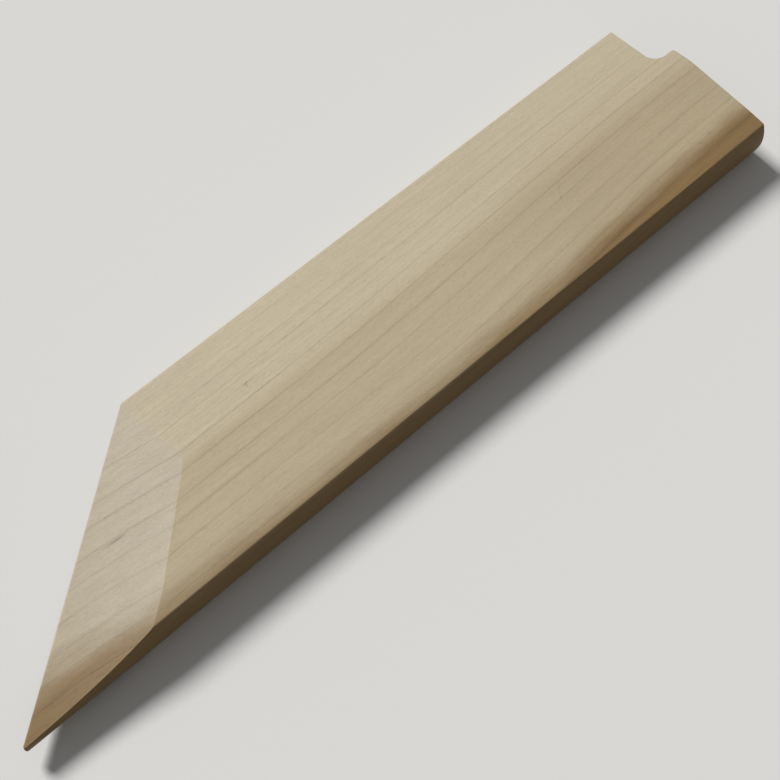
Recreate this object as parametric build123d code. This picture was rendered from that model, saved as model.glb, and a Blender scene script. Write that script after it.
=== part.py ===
from build123d import *
from math import hypot
import os

# Wooden sheath for an angled-tip kitchen knife: two carved halves glued face to face.
# Working axes: x runs up to 0 at the mouth, y runs up to 0 at the spine, z = 0 is the glue face.
# The finished sheath is then laid on its lower main facet, centred on the origin.

# Outline seen square to the faces
sheath_length = 252.0      # mouth to tip point
sheath_width = 51.0        # spine to the crease above the edge wall
spine_length = 182.7       # mouth to the corner where the slanted tip end starts

# Step in the mouth that clears the neck of the blade
step_width = 16.9
step_depth = 6.7           # at the spine
step_inner_depth = 7.4     # at the inner corner
step_radius = 4.1
outer_corner_radius = 1.0

# Heights of one half above the glue face, at the mouth
spine_height = 4.3
ridge_height = 7.65
roll_height = 6.95
crease_height = 6.4
ridge_from_spine = 23.2
roll_width = 7.1           # rolled-over strip beside the edge crease
ridge_radius = 20.0        # softened ridge between the two long facets
thinning = 0.5             # how much lower each face lies at the tip than at the mouth

# Crowned walls
edge_bulge = 1.5
spine_bulge = 0.8

# Tip facet, slightly twisted between four corners
facet_on_ridge = 32.3      # lengthwise from the slanted end, along the ridge
facet_on_crease = 38.5     # the same along the edge crease
facet_hollow = 1.0         # how deep the facet dips between the tip and its corner on the crease
tip_height = 1.7           # half thickness left at the tip point
reach_share = 0.3          # how far its cutter runs past the corners, of the facet's size

# Rubbed-down outer edges
crease_softness = 0.5      # along the spine and the edge
rim_softness = 0.4         # around the mouth and the tip end
lean_share = 0.2           # upward part of a unit normal that still counts as an upright face

# Pocket for the blade, carved half into each side
spine_wall = 4.5
edge_wall = 5.5
tip_wall = 6.0
pocket_radius = 2.0
pocket_depth = 2.5         # half of the space that the blade gets
point_depth = 1.2          # the same at the very point
point_taper = 25.0         # length over which the floor rises to it
mouth_easing = 0.4         # bevel that leads the blade into the pocket

overrun = 5.0              # how far cutting solids reach past the wood

edge_crown = -sheath_width - edge_bulge
tip_slant = (sheath_length - spine_length) / -edge_crown   # run along x for each step in y


def face_point(x, y, height):
    # Point on the upper face, which sinks from the mouth towards the tip
    return Vector(x, y, height + thinning * x / sheath_length)


def cross_section():
    # Both faces at the mouth, with crowned walls
    spine = (0, spine_height)
    ridge = (-ridge_from_spine, ridge_height)
    roll = (roll_width - sheath_width, roll_height)
    crease = (-sheath_width, crease_height)
    facets = FilletPolyline(spine, ridge, roll, radius=ridge_radius)
    rolled = TangentArc(roll, crease, tangent=(roll[0] - ridge[0], roll[1] - ridge[1]))
    upper = facets + rolled
    edge_side = ThreePointArc(crease, (edge_crown, 0), (-sheath_width, -crease_height))
    spine_side = ThreePointArc(spine, (spine_bulge, 0), (0, -spine_height))
    face = make_face(upper + mirror(upper, Plane.XZ) + edge_side + spine_side)
    lengthwise = ShapeList(
        face.vertices().sort_by_distance((place[0], sign * place[1]))[0]
        for place in (spine, crease)
        for sign in (1, -1)
    )
    return fillet(lengthwise, crease_softness)


def bar():
    # Upper half of the section, drawn out from the mouth and sinking by the thinning
    mouth = Plane(origin=(0, 0, 0), x_dir=(0, 1, 0), z_dir=(1, 0, 0))
    run = Vector(-sheath_length - overrun, 0, -thinning * (1 + overrun / sheath_length))
    drawn = extrude(mouth * cross_section(), amount=run.length, dir=run.normalized())
    return split(drawn, Plane.XY, keep=Keep.TOP)


def silhouette():
    # Outline with the stepped mouth and the slanted tip end, wider than the walls
    outside = spine_bulge + overrun
    beyond = edge_crown - overrun
    inner_corner = (-step_inner_depth, -step_width)
    outer_corner = (0, -step_width)
    corners = [
        (-step_depth, outside),
        inner_corner,
        outer_corner,
        (0, beyond),
        (tip_slant * beyond - spine_length, beyond),
        (tip_slant * outside - spine_length, outside),
    ]
    outline = make_face(Polyline(*corners, close=True))
    outline = fillet(outline.vertices().sort_by_distance(inner_corner)[0], step_radius)
    outline = fillet(outline.vertices().sort_by_distance(outer_corner)[0], outer_corner_radius)
    return extrude(outline, amount=ridge_height + overrun)


def tip_cutter():
    # Everything above the tip facet, as a twisted, hollow surface drawn past its four corners
    main_slope = (ridge_height - roll_height) / (sheath_width - roll_width - ridge_from_spine)
    crease_plane_height = roll_height - main_slope * roll_width
    corner = face_point(-spine_length, 0, spine_height)
    ridge_end = facet_on_ridge - spine_length - tip_slant * ridge_from_spine
    crease_end = facet_on_crease - spine_length - tip_slant * sheath_width
    ridge = face_point(ridge_end, -ridge_from_spine, ridge_height)
    crease = face_point(crease_end, -sheath_width, crease_plane_height)
    tip = Vector(-sheath_length, edge_crown, tip_height)
    spread = (1 + 2 * reach_share) ** 2
    patch = []
    for along in (-reach_share, 1 + reach_share):
        outer = corner + (tip - corner) * along
        inner = ridge + (crease - ridge) * along
        overhang = (outer - inner) * reach_share
        dip = Vector(0, 0, facet_hollow * along)
        rise = dip * (spread - 1)
        middle = (outer + inner) * 0.5 - dip * (spread + 1)
        patch.append([outer + overhang + rise, middle, inner - overhang + rise])
    facet = Face.make_bezier_surface(patch)
    return extrude(facet, amount=ridge_height + overrun, dir=(0, 0, 1))


def pocket():
    # Space that one half gives the blade: one depth, with a floor that rises towards the point
    inset = tip_wall * hypot(tip_slant, 1) - spine_length
    back = -spine_wall
    cutting = edge_wall - sheath_width
    far_back = (tip_slant * back + inset, back)
    far_cutting = (tip_slant * cutting + inset, cutting)
    outline = make_face(Polyline((overrun, back), (overrun, cutting), far_cutting, far_back, close=True))
    far_corners = outline.vertices().sort_by(Axis.X)[:2]
    solid = extrude(fillet(far_corners, pocket_radius), amount=pocket_depth)
    point = Vector(*far_cutting, point_depth)
    ramp = Plane(origin=point, z_dir=(point_depth - pocket_depth, 0, point_taper))
    return split(solid, ramp, keep=Keep.BOTTOM)


def is_upright(face):
    return abs(face.normal_at().Z) < lean_share


def end_rims(wood):
    # Outer edges of the mouth, and the top and point of the slanted tip end
    uprights = wood.faces().filter_by(is_upright)
    mouth = uprights.filter_by(lambda face: face.center().X > -step_inner_depth)
    around = ShapeList(face for face in wood.faces() if face not in mouth)
    tip_end = uprights.filter_by(lambda face: face.center().X < -spine_length)
    picked = mouth.edges().filter_by(lambda edge: edge in around.edges())
    picked += tip_end.edges().filter_by(lambda edge: (edge @ 0.5).Y < -rim_softness)
    return picked.filter_by(lambda edge: (edge @ 0.5).Z > rim_softness)


def upper_half():
    # One half: shaped, its ends rubbed down, hollowed, and the mouth of its pocket eased
    wood = (bar() & silhouette()) - tip_cutter()
    wood = fillet(end_rims(wood), rim_softness) - pocket()
    floor = wood.faces().filter_by(lambda face: face.normal_at().Z < -lean_share).sort_by(Axis.Z)[-1]
    lips = floor.edges().filter_by(lambda edge: (edge @ 0.5).X > -step_inner_depth - rim_softness)
    return chamfer(lips, mouth_easing)


def resting_plane():
    # The lower main facet, which the sheath lies on
    ridge = face_point(0, -ridge_from_spine, ridge_height)
    roll = face_point(0, roll_width - sheath_width, roll_height)
    lengthwise = Vector(sheath_length, 0, -thinning)
    crosswise = Vector(0, ridge.Y - roll.Y, roll.Z - ridge.Z)
    start = Vector(0, ridge.Y, -ridge.Z)
    return Plane(origin=start, x_dir=lengthwise, z_dir=lengthwise.cross(crosswise))


def laid_down(shapes):
    # Lower main facet on z = 0, origin under the middle of the whole sheath
    laid = [resting_plane().to_local_coords(shape) for shape in shapes]
    middle = Compound(laid).bounding_box().center()
    return [Pos(-middle.X, -middle.Y, 0) * shape for shape in laid]


front_half = upper_half()
back_half = mirror(front_half, Plane.XY)
os.makedirs("parts", exist_ok=True)
for name, half in zip(("front_half", "back_half"), laid_down([front_half, back_half])):
    export_step(half, "parts/" + name + ".step")
    print(name, half.bounding_box(), round(half.volume), half.is_valid)
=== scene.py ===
import bpy
from mathutils import Matrix, Vector

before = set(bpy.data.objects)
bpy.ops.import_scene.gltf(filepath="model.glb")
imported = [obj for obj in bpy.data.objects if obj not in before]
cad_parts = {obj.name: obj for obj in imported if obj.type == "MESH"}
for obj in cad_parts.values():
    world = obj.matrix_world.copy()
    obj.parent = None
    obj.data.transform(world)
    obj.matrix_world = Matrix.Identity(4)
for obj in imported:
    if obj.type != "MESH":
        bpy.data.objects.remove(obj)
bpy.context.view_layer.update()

# A wooden knife sheath made of two carved halves. Both halves keep the CAD's shape, and this
# script dresses them in pale wood, then sets out the floor, the lamp and the camera.
# The grain is worked out in millimetres in the sheath's own axes: from the mouth towards the
# tip, from the spine towards the edge, and from the glue face outwards.
sheathAxes = {
    "mouthAtSpine": (0.1255918, 0.0258359, 0.0084297),   # metres, in the shared frame
    "towardsMouth": (0.999998, -0.000067, 0.001983),
    "towardsSpine": (0.0, 0.999429, 0.033797),
    "outwards": (-0.001984, -0.033797, 0.999427),
    "millimetre": 0.001,
}

# Outside of a half above the glue face, in millimetres, for placing the rings that show on it
facetHeights = {
    "atSpine": 4.3,
    "atRidge": 7.65,
    "ridgeFromSpine": 23.2,
    "fallTowardsEdge": 0.0338,        # for each mm from the ridge
    "fallTowardsTip": 0.5 / 252.0,    # 0.5 mm over the whole length
}

# Noises of the wood: the size of their specks in mm lengthwise, across and through the board,
# then how detailed and how rough they are
woodGrain = {
    "wander": ((70.0, 14.0, 14.0), 1.0, 0.5),
    "broken": ((7.0, 0.8, 0.8), 2.0, 0.5),
    "worn": ((45.0, 5.0, 5.0), 1.0, 0.5),
    "ragged": ((0.7, 0.35, 0.35), 2.0, 0.5),
    "fine": ((3.2, 0.2, 0.2), 3.0, 0.6),
    "broad": ((40.0, 1.5, 1.5), 2.0, 0.5),
    "streak": ((14.0, 0.9, 0.9), 2.0, 0.5),
    "cloud": ((110.0, 9.0, 9.0), 2.0, 0.5),
    "stain": ((22.0, 3.5, 3.5), 3.0, 0.6),
    "pore": ((1.3, 0.13, 0.13), 1.0, 0.5),
}
noiseMiddle = 0.5
colourSockets = {"under": 6, "over": 7, "mixed": 2}    # of a mix node, by number


def heightOnFacet(fromSpine, fromMouth):
    ridge, top = facetHeights["ridgeFromSpine"], facetHeights["atRidge"]
    if fromSpine < ridge:
        rise = (top - facetHeights["atSpine"]) / ridge
        height = facetHeights["atSpine"] + rise * fromSpine
    else:
        height = top - facetHeights["fallTowardsEdge"] * (fromSpine - ridge)
    return height - facetHeights["fallTowardsTip"] * fromMouth


def feed(tree, socket, value):
    # A socket takes either another node's output or a plain value
    if isinstance(value, bpy.types.NodeSocket):
        tree.links.new(value, socket)
    else:
        socket.default_value = value


def addNode(tree, kind, inputs=(), **settings):
    node = tree.nodes.new(kind)
    for name, value in settings.items():
        setattr(node, name, value)
    for socket, value in zip(node.inputs, inputs):
        feed(tree, socket, value)
    return node


def calc(tree, operation, *values):
    return addNode(tree, "ShaderNodeMath", values, operation=operation).outputs[0]


def multiply(tree, product, *others):
    for other in others:
        product = calc(tree, "MULTIPLY", product, other)
    return product


def fade(tree, value, low, high, atLow=0.0, atHigh=1.0, shape="SMOOTHSTEP"):
    # atLow where the value is low or less, atHigh where it is high or more
    inputs = (value, low, high, atLow, atHigh)
    return addNode(tree, "ShaderNodeMapRange", inputs, interpolation_type=shape).outputs[0]


def lay(tree, amount, under, over, way="MIX"):
    node = addNode(tree, "ShaderNodeMix", data_type="RGBA", blend_type=way)
    feed(tree, node.inputs["Factor"], amount)
    feed(tree, node.inputs[colourSockets["under"]], under)
    feed(tree, node.inputs[colourSockets["over"]], over)
    return node.outputs[colourSockets["mixed"]]


def grain(tree, place, name):
    size, detail, roughness = woodGrain[name]
    scaled = addNode(tree, "ShaderNodeMapping", (place,))
    scaled.inputs["Scale"].default_value = [1 / side for side in size]
    node = addNode(tree, "ShaderNodeTexNoise", (scaled.outputs[0],), noise_dimensions="3D")
    node.inputs["Scale"].default_value = 1.0
    node.inputs["Detail"].default_value = detail
    node.inputs["Roughness"].default_value = roughness
    return node.outputs[0]


def sheathPlace(tree):
    # Where a point of the wood is, in mm in the sheath's axes
    shared = addNode(tree, "ShaderNodeTexCoord").outputs["Object"]
    turned = addNode(tree, "ShaderNodeMapping", (shared,), vector_type="TEXTURE")
    columns = [sheathAxes[axis] for axis in ("towardsMouth", "towardsSpine", "outwards")]
    turned.inputs["Location"].default_value = sheathAxes["mouthAtSpine"]
    turned.inputs["Rotation"].default_value = Matrix(columns).transposed().to_euler()
    turned.inputs["Scale"].default_value = [sheathAxes["millimetre"]] * 3
    parts = addNode(tree, "ShaderNodeSeparateXYZ", (turned.outputs[0],))
    return {
        "place": turned.outputs[0],
        "fromMouth": calc(tree, "MULTIPLY", parts.outputs[0], -1.0),
        "fromSpine": calc(tree, "MULTIPLY", parts.outputs[1], -1.0),
        "height": parts.outputs[2],
    }


# Growth rings: nearly flat sheets that run along the board, slant through it and swing towards
# the spine near the mouth. A ring is given by its distance below the spine on the face, 175 mm
# from the mouth, and by how dark its line is.
frontBoard = {
    "name": "pale_wood_front",
    "rings": (
        (-1.5, 0.22), (1.2, 0.22), (3.9, 0.25), (7.2, 0.3), (10.5, 0.34),
        (13.9, 0.58), (17.2, 0.22), (21.0, 0.66), (25.5, 0.52), (30.6, 0.56),
        (35.0, 0.36), (40.1, 0.34), (45.2, 0.34), (49.4, 0.36), (53.2, 0.5),
        (57.6, 0.35), (61.2, 0.55), (65.0, 0.4), (69.0, 0.5),
    ),
    "heartwoodFrom": 54.2,
    "stainedRing": 53.3,          # the darkest brown lies along it, near the mouth
    "shift": 0.0,
}
backBoard = {
    "name": "pale_wood_back",
    "rings": (
        (-4.4, 0.28), (-0.6, 0.22), (2.7, 0.34), (5.8, 0.46), (9.4, 0.26),
        (12.6, 0.52), (16.5, 0.3), (20.9, 0.42), (24.7, 0.6), (28.8, 0.3),
        (33.6, 0.48), (38.9, 0.36), (43.1, 0.3), (48.0, 0.54), (52.6, 0.42),
        (55.6, 0.5), (61.6, 0.4), (66.0, 0.5), (70.0, 0.4),
    ),
    "heartwoodFrom": 56.4,
    "stainedRing": 55.7,
    "shift": 400.0,               # takes its fibres from another place in the noise
}
ringShape = {
    "measuredAt": 175.0,          # mm from the mouth
    "slant": 1.2,                 # mm towards the spine for each mm deeper
    "heightUpTo": 46.0,           # mm below the spine; rings past it take the height here
    "swingFrom": 5.0,             # mm from the mouth
    "swingLength": (15.0, 45.0, 160.0, 118.0),   # two distances below the spine, then the
    "swingWidth": (0.0, 30.75, 0.45, 6.6),       # length or width there, all in mm
    "wander": 1.1,                # mm
    "core": (0.012, 0.095),       # full darkness and end of a line, as shares of a ring
    "broken": (0.32, 0.6, 0.7, 1.0),             # from one noise value to another, and how
    "worn": (0.35, 0.65, 0.8, 1.15),             # much of the line is left there
}


def ringDepth(below):
    # Depth at the glue face of the ring that shows this far below the spine on the outside
    height = heightOnFacet(min(below, ringShape["heightUpTo"]), ringShape["measuredAt"])
    return below - ringShape["slant"] * height


def setStraightCurve(mapping, points):
    curve = mapping.curves[0]
    curve.points[0].location = points[0]
    curve.points[1].location = points[-1]
    for point in points[1:-1]:
        curve.points.new(*point)
    for point in curve.points:
        point.handle_type = "VECTOR"
    mapping.update()


def growthRings(tree, board, at):
    # How deep a point is in the board's rings, how far from one ring to the next, and the lines
    place, fromSpine = at["place"], at["fromSpine"]
    length = fade(tree, fromSpine, *ringShape["swingLength"], "LINEAR")
    swung = calc(tree, "SUBTRACT", at["fromMouth"], ringShape["swingFrom"])
    swing = fade(tree, calc(tree, "DIVIDE", swung, length), 0.0, 1.0, 1.0, 0.0)
    width = fade(tree, fromSpine, *ringShape["swingWidth"], "LINEAR")
    reach = ringShape["wander"]
    wander = calc(tree, "MULTIPLY_ADD", grain(tree, place, "wander"), reach, -reach / 2)
    depth = calc(tree, "MULTIPLY_ADD", swing, width, fromSpine)
    depth = calc(tree, "ADD", depth, wander)
    fromGlue = calc(tree, "ABSOLUTE", at["height"])
    depth = calc(tree, "MULTIPLY_ADD", fromGlue, -ringShape["slant"], depth)

    # A curve counts the rings, with a whole number on each, and each has its own strength
    depths = [ringDepth(below) for below, dark in board["rings"]]
    first, span, last = depths[0], depths[-1] - depths[0], len(depths) - 1
    share = fade(tree, depth, first, first + span, shape="LINEAR")
    curve = addNode(tree, "ShaderNodeFloatCurve")
    points = [((ring - first) / span, i / last) for i, ring in enumerate(depths)]
    setStraightCurve(curve.mapping, points)
    feed(tree, curve.inputs["Value"], share)
    count = calc(tree, "MULTIPLY", curve.outputs[0], float(last))

    strength = addNode(tree, "ShaderNodeValToRGB", (share,))
    strength.color_ramp.interpolation = "CONSTANT"
    stops = strength.color_ramp.elements
    for i, (below, dark) in enumerate(board["rings"]):
        start = ((depths[i] + depths[i - 1]) / 2 - first) / span if i else 0.0
        stop = stops.new(start) if i else stops[0]
        stop.color = (dark, dark, dark, 1.0)
    beside = calc(tree, "PINGPONG", count, 0.5)     # 0 on a ring, 0.5 midway between two
    line = fade(tree, beside, *ringShape["core"], 1.0, 0.0)
    broken = fade(tree, grain(tree, place, "broken"), *ringShape["broken"])
    worn = fade(tree, grain(tree, place, "worn"), *ringShape["worn"])
    line = multiply(tree, line, strength.outputs[0], broken, worn)
    return depth, calc(tree, "FRACT", count), line


paleWood = {
    "sapwood": (0.54, 0.45, 0.295, 1.0),
    "palerSapwood": (0.565, 0.475, 0.32, 1.0),
    "heartwood": (0.29, 0.187, 0.08, 1.0),
    "darkHeartwood": (0.262, 0.163, 0.068, 1.0),
    "stainedRing": (0.215, 0.13, 0.05, 1.0),
    "mark": (0.19, 0.12, 0.08, 1.0),
    # Painted sheen: the spine and tip facets are greyed where the lamp's reflection would fall on
    # them
    "spineFacetPaintedSheen": (0.99, 1.015, 1.065, 1.0),   # this and the rest multiply the wood under them
    "tipFacetPaintedSheen": (0.963, 0.983, 1.055, 1.0),
    "ringLine": (0.76, 0.725, 0.68, 1.0),
    "pore": (0.88, 0.865, 0.84, 1.0),
    # Painted highlight: the softened edges are lightened as if they caught the lamp
    "paintedEdgeHighlight": (1.09, 1.09, 1.08, 1.0),
    "endGrain": (0.80, 0.765, 0.71, 1.0),
    "glueLine": (0.66, 0.58, 0.48, 1.0),
}

# Marks on the front: mm from the mouth and from the spine, length and width in mm, turn from
# the grain in radians, and darkness
frontMarks = (
    (205.7, 27.75, 7.4, 0.75, -0.12, 0.42),
    (205.9, 27.7, 3.8, 0.55, -0.12, 0.60),
    (156.9, 17.4, 2.3, 0.55, 0.10, 0.50),
    (157.0, 17.9, 1.3, 0.50, 1.35, 0.42),
    (58.0, 28.9, 3.6, 0.45, 0.90, 0.19),
    (59.6, 31.4, 1.8, 0.40, 1.15, 0.30),
    (14.2, 43.3, 1.6, 0.80, 0.10, 0.30),
    (18.4, 43.9, 1.3, 0.70, -0.10, 0.25),
)
markShape = {
    "ragged": 1.2,                # over how much noise moves the outline, in half widths
    "core": (0.3, 1.25),          # full darkness and end of a mark, in half widths
    "above": (1.0, 1.5),          # mm from the glue face, where the marks fade in
}


def woodMarks(tree, at):
    # Small dark streaks and scratches in the face, as ragged ovals
    reach = markShape["ragged"]
    ragged = calc(tree, "MULTIPLY_ADD", grain(tree, at["place"], "ragged"), reach, -reach / 2)
    total = 0.0
    for along, below, length, width, turn, dark in frontMarks:
        flat = addNode(tree, "ShaderNodeCombineXYZ", (at["fromMouth"], at["fromSpine"], 0.0))
        oval = addNode(tree, "ShaderNodeMapping", (flat.outputs[0],), vector_type="TEXTURE")
        oval.inputs["Location"].default_value = (along, below, 0.0)
        oval.inputs["Rotation"].default_value = (0.0, 0.0, turn)
        oval.inputs["Scale"].default_value = (length / 2, width / 2, 1.0)
        away = addNode(tree, "ShaderNodeVectorMath", (oval.outputs[0],), operation="LENGTH")
        edge = calc(tree, "ADD", away.outputs["Value"], ragged)
        mark = fade(tree, edge, *markShape["core"], dark, 0.0)
        total = calc(tree, "MAXIMUM", mark, total)
    return multiply(tree, total, fade(tree, at["height"], *markShape["above"]))


brownSide = {
    "stray": 6.0,                            # mm over which noise moves the heartwood's border
    "nearTip": (205.0, 232.0, 0.0, 1.5),     # mm from the mouth, and mm that it widens there
    "border": (-9.8, 0.8),                   # mm before and past it, from pale to full brown
    "handledAlong": (45.0, 95.0, 0.15, 0.0), # mm from the mouth, and how brown
    "handledBelow": (6.0, 28.0),             # mm below the spine, where it fades in
    "darkStreaks": (0.42, 0.68),             # noise values
    "besideRing": (0.3, 1.6, 0.6, 0.0),      # mm from the stained ring, and how stained
    "alongRing": (70.0, 140.0, 1.0, 0.0),    # mm from the mouth, and how much of that is left
}


def brownWood(tree, board, at, noises):
    # Brown heartwood spreads over the last rings before it, and hands have toned the mouth
    fromMouth = at["fromMouth"]
    border = ringDepth(board["heartwoodFrom"])
    before, past = brownSide["border"]
    stray = calc(tree, "SUBTRACT", noises["stain"], noiseMiddle)
    stained = calc(tree, "MULTIPLY_ADD", stray, brownSide["stray"], at["depth"])
    stained = calc(tree, "ADD", stained, fade(tree, fromMouth, *brownSide["nearTip"]))
    brown = fade(tree, stained, border + before, border + past)
    handled = fade(tree, fromMouth, *brownSide["handledAlong"])
    handled = multiply(tree, handled, fade(tree, at["fromSpine"], *brownSide["handledBelow"]))
    brown = calc(tree, "MAXIMUM", brown, handled)

    streaks = fade(tree, noises["streak"], *brownSide["darkStreaks"])
    heart = lay(tree, streaks, paleWood["heartwood"], paleWood["darkHeartwood"])
    away = calc(tree, "SUBTRACT", at["depth"], ringDepth(board["stainedRing"]))
    beside = fade(tree, calc(tree, "ABSOLUTE", away), *brownSide["besideRing"])
    beside = multiply(tree, beside, fade(tree, fromMouth, *brownSide["alongRing"]))
    return brown, lay(tree, beside, heart, paleWood["stainedRing"])


# Bevel that finds the softened edges for the painted highlight
highlightBevel = {
    "radius": 0.0007,             # metres
    "samples": 8,
    "turned": (0.93, 0.99),       # how well the two normals agree on an edge and on a facet
}


def edgeHighlightMask(tree, normal):
    # 1 on the softened edges, where the normal turns within a short way, and 0 on the facets:
    # where the painted highlight goes
    rounded = addNode(tree, "ShaderNodeBevel", samples=highlightBevel["samples"])
    rounded.inputs["Radius"].default_value = highlightBevel["radius"]
    normals = (normal, rounded.outputs[0])
    same = addNode(tree, "ShaderNodeVectorMath", normals, operation="DOT_PRODUCT")
    return fade(tree, same.outputs["Value"], *highlightBevel["turned"], 1.0, 0.0)


# How far a surface faces along one of the sheath's axes, from -1 to 1, where its tone fades in
facetTurn = {
    # the painted sheen of the spine and tip facets fades in over these
    "spineFacetPaintedSheen": (0.0, 0.12),
    "tipFacetPaintedSheen": (-0.05, -0.015, 1.0, 0.0),
    "endGrain": (0.35, 0.75),
}
glueLineWidth = (0.04, 0.13)      # mm from the glue face


def facing(tree, normal, axis):
    directions = (normal, sheathAxes[axis])
    node = addNode(tree, "ShaderNodeVectorMath", directions, operation="DOT_PRODUCT")
    return node.outputs["Value"]


def toneFacets(tree, colour, height):
    # The spine and tip facets are greyed with painted sheen, and the softened edges lightened with
    # a painted highlight, as the lamp would leave them; the mouth and the slanted end are cut
    # right across the fibres
    normal = addNode(tree, "ShaderNodeNewGeometry").outputs["Normal"]
    crosswise = facing(tree, normal, "towardsSpine")
    lengthwise = facing(tree, normal, "towardsMouth")
    cut = calc(tree, "ABSOLUTE", lengthwise)
    fromGlue = calc(tree, "ABSOLUTE", height)
    tones = {
        "spineFacetPaintedSheen": fade(tree, crosswise, *facetTurn["spineFacetPaintedSheen"]),
        "tipFacetPaintedSheen": fade(tree, lengthwise, *facetTurn["tipFacetPaintedSheen"]),
        "endGrain": fade(tree, cut, *facetTurn["endGrain"]),
        "paintedEdgeHighlight": edgeHighlightMask(tree, normal),
        "glueLine": fade(tree, fromGlue, *glueLineWidth, 1.0, 0.0),
    }
    for name, amount in tones.items():
        colour = lay(tree, amount, colour, paleWood[name], "MULTIPLY")
    return colour


woodTone = {
    "growth": 0.45,               # how much paler the wood gets from one ring to the next
    "cloud": 0.5,                 # the same from the darkest cloud to the palest
    "shift": -0.05,               # added to both
    "noise": (0.25, 0.75),        # noise values, and how bright each noise makes the fibres there
    "fine": (0.94, 1.05),
    "broad": (0.955, 1.045),
    "streak": (0.965, 1.035),
    "pore": (0.56, 0.70),         # noise values
}


def woodColour(tree, board, at, growth, noises):
    # Sapwood, then heartwood over it, both shaded along the fibres
    tone = calc(tree, "MULTIPLY_ADD", noises["cloud"], woodTone["cloud"], woodTone["shift"])
    tone = calc(tree, "MULTIPLY_ADD", growth, woodTone["growth"], tone)
    colour = lay(tree, tone, paleWood["sapwood"], paleWood["palerSapwood"])
    brown, heart = brownWood(tree, board, at, noises)
    colour = lay(tree, brown, colour, heart)
    shades = [
        fade(tree, noises[name], *woodTone["noise"], *woodTone[name], "LINEAR")
        for name in ("fine", "broad", "streak")
    ]
    shaded = addNode(tree, "ShaderNodeVectorMath", (colour,), operation="SCALE")
    feed(tree, shaded.inputs["Scale"], multiply(tree, *shades))
    return shaded.outputs[0]


woodSurface = {
    "roughness": (0.2, 0.8, 0.64, 0.54),   # noise values, and the roughness at each
    "specular": 0.3,
    "relief": 0.00004,                     # metres
    "reliefStrength": 0.6,
    "poreDepth": 0.6,                      # share of the relief
}


def woodShader(tree, colour, fibre, line, pores):
    shader = addNode(tree, "ShaderNodeBsdfPrincipled")
    feed(tree, shader.inputs["Base Color"], colour)
    roughness = fade(tree, fibre, *woodSurface["roughness"], "LINEAR")
    feed(tree, shader.inputs["Roughness"], roughness)
    shader.inputs["Specular IOR Level"].default_value = woodSurface["specular"]
    relief = calc(tree, "SUBTRACT", fibre, line)
    dents = calc(tree, "MULTIPLY", pores, woodSurface["poreDepth"])
    bump = addNode(tree, "ShaderNodeBump")
    bump.inputs["Strength"].default_value = woodSurface["reliefStrength"]
    bump.inputs["Distance"].default_value = woodSurface["relief"]
    feed(tree, bump.inputs["Height"], calc(tree, "SUBTRACT", relief, dents))
    feed(tree, shader.inputs["Normal"], bump.outputs[0])
    return shader.outputs[0]


def halfOfSheath(board, marked):
    material = bpy.data.materials.new(board["name"])
    material.use_nodes = True
    tree = material.node_tree
    tree.nodes.clear()
    at = sheathPlace(tree)
    at["depth"], growth, line = growthRings(tree, board, at)

    # Fibres keep to the rings, so their noise is read along the ring instead of the board
    through = calc(tree, "ADD", at["height"], board["shift"])
    along = addNode(tree, "ShaderNodeCombineXYZ", (at["fromMouth"], at["depth"], through))
    names = ("fine", "broad", "streak", "cloud", "stain", "pore")
    noises = {name: grain(tree, along.outputs[0], name) for name in names}
    pores = fade(tree, noises["pore"], *woodTone["pore"])

    colour = woodColour(tree, board, at, growth, noises)
    colour = lay(tree, line, colour, paleWood["ringLine"], "MULTIPLY")
    colour = lay(tree, pores, colour, paleWood["pore"], "MULTIPLY")
    colour = toneFacets(tree, colour, at["height"])
    if marked:
        colour = lay(tree, woodMarks(tree, at), colour, paleWood["mark"])
    output = addNode(tree, "ShaderNodeOutputMaterial")
    surface = woodShader(tree, colour, noises["fine"], line, pores)
    feed(tree, output.inputs["Surface"], surface)
    return material


for nodeName, board, marked in (("front_half", frontBoard, True), ("back_half", backBoard, False)):
    wood = halfOfSheath(board, marked)
    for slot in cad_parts[nodeName].material_slots:
        slot.material = wood
    print("wood on", nodeName)

studio = {
    "floorSize": 8.0,                            # metres
    "floorSeen": (0.80, 0.79, 0.77, 1.0),
    "floorLight": (0.22, 0.215, 0.205, 1.0),     # what the wood gets back from the floor
    "floorRoughness": 0.9,
    "floorSpecular": 0.1,
    "worldSeen": (0.705, 0.696, 0.678, 1.0),
    "worldLight": (0.18, 0.18, 0.18, 1.0),       # what the wood gets from all round
    "lampFrom": (-0.10, 1.0, 1.0),
    "lampWidth": 0.32,                           # radians, as seen from the sheath
    "lampStrength": 3.0,
}


def seenOrLit(tree, seen, light):
    # One colour for what the camera sees, also mirrored or through glass, another for light
    rays = addNode(tree, "ShaderNodeLightPath").outputs
    direct = calc(tree, "MAXIMUM", rays["Is Camera Ray"], rays["Is Glossy Ray"])
    direct = calc(tree, "MAXIMUM", direct, rays["Is Transmission Ray"])
    return lay(tree, direct, light, seen)


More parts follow.
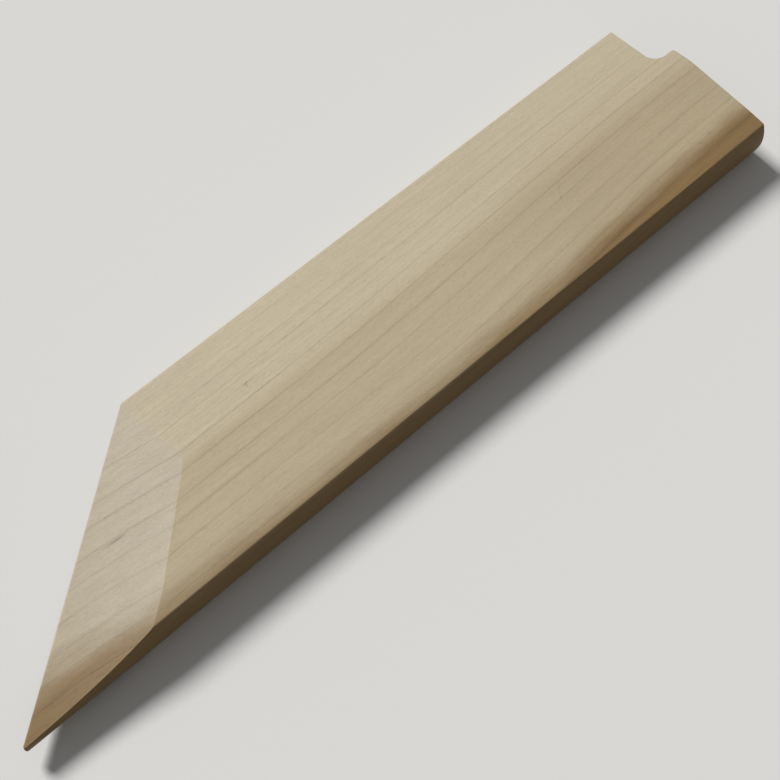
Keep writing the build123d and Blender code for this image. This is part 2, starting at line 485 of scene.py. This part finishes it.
def layFloor():
    side = studio["floorSize"] / 2
    corners = [(-side, -side, 0), (side, -side, 0), (side, side, 0), (-side, side, 0)]
    mesh = bpy.data.meshes.new("floor")
    mesh.from_pydata(corners, [], [(0, 1, 2, 3)])
    floor = bpy.data.objects.new("floor", mesh)
    bpy.context.scene.collection.objects.link(floor)
    material = bpy.data.materials.new("pale_floor")
    material.use_nodes = True
    tree = material.node_tree
    shader = tree.nodes["Principled BSDF"]
    colour = seenOrLit(tree, studio["floorSeen"], studio["floorLight"])
    feed(tree, shader.inputs["Base Color"], colour)
    shader.inputs["Roughness"].default_value = studio["floorRoughness"]
    shader.inputs["Specular IOR Level"].default_value = studio["floorSpecular"]
    mesh.materials.append(material)


def hangLamp():
    # Far off, so that the floor is lit evenly, and wide enough for a soft shadow
    lamp = bpy.data.lights.new("soft_lamp", "SUN")
    lamp.angle = studio["lampWidth"]
    lamp.energy = studio["lampStrength"]
    holder = bpy.data.objects.new("soft_lamp", lamp)
    holder.location = studio["lampFrom"]
    holder.rotation_euler = (-Vector(studio["lampFrom"])).to_track_quat("-Z", "Y").to_euler()
    bpy.context.scene.collection.objects.link(holder)


def lightWorld():
    world = bpy.data.worlds.new("studio")
    world.use_nodes = True
    tree = world.node_tree
    colour = seenOrLit(tree, studio["worldSeen"], studio["worldLight"])
    feed(tree, tree.nodes["Background"].inputs["Color"], colour)
    bpy.context.scene.world = world


layFloor()
hangLamp()
lightWorld()
print("floor and lamp placed")

# Seen from above the edge side, with the mouth at the upper right
view = {
    "place": (-0.1242, -0.1444, 0.3415),         # metres
    "right": (0.7366, -0.67632, 0.00293),
    "up": (0.59663, 0.65182, 0.46815),
    "lens": 69.23,                               # mm, like the sensor
    "sensor": 36.0,
    "nearest": 0.01,                             # metres
}


def placeCamera():
    camera = bpy.data.objects.new("camera", bpy.data.cameras.new("camera"))
    right, up = Vector(view["right"]), Vector(view["up"])
    turn = Matrix((right, up, right.cross(up))).transposed().to_4x4()
    camera.matrix_world = Matrix.Translation(view["place"]) @ turn
    camera.data.lens = view["lens"]
    camera.data.sensor_width = view["sensor"]
    camera.data.clip_start = view["nearest"]
    bpy.context.scene.collection.objects.link(camera)
    bpy.context.scene.camera = camera


placeCamera()
bpy.context.scene.view_settings.view_transform = "Standard"
print("camera placed")
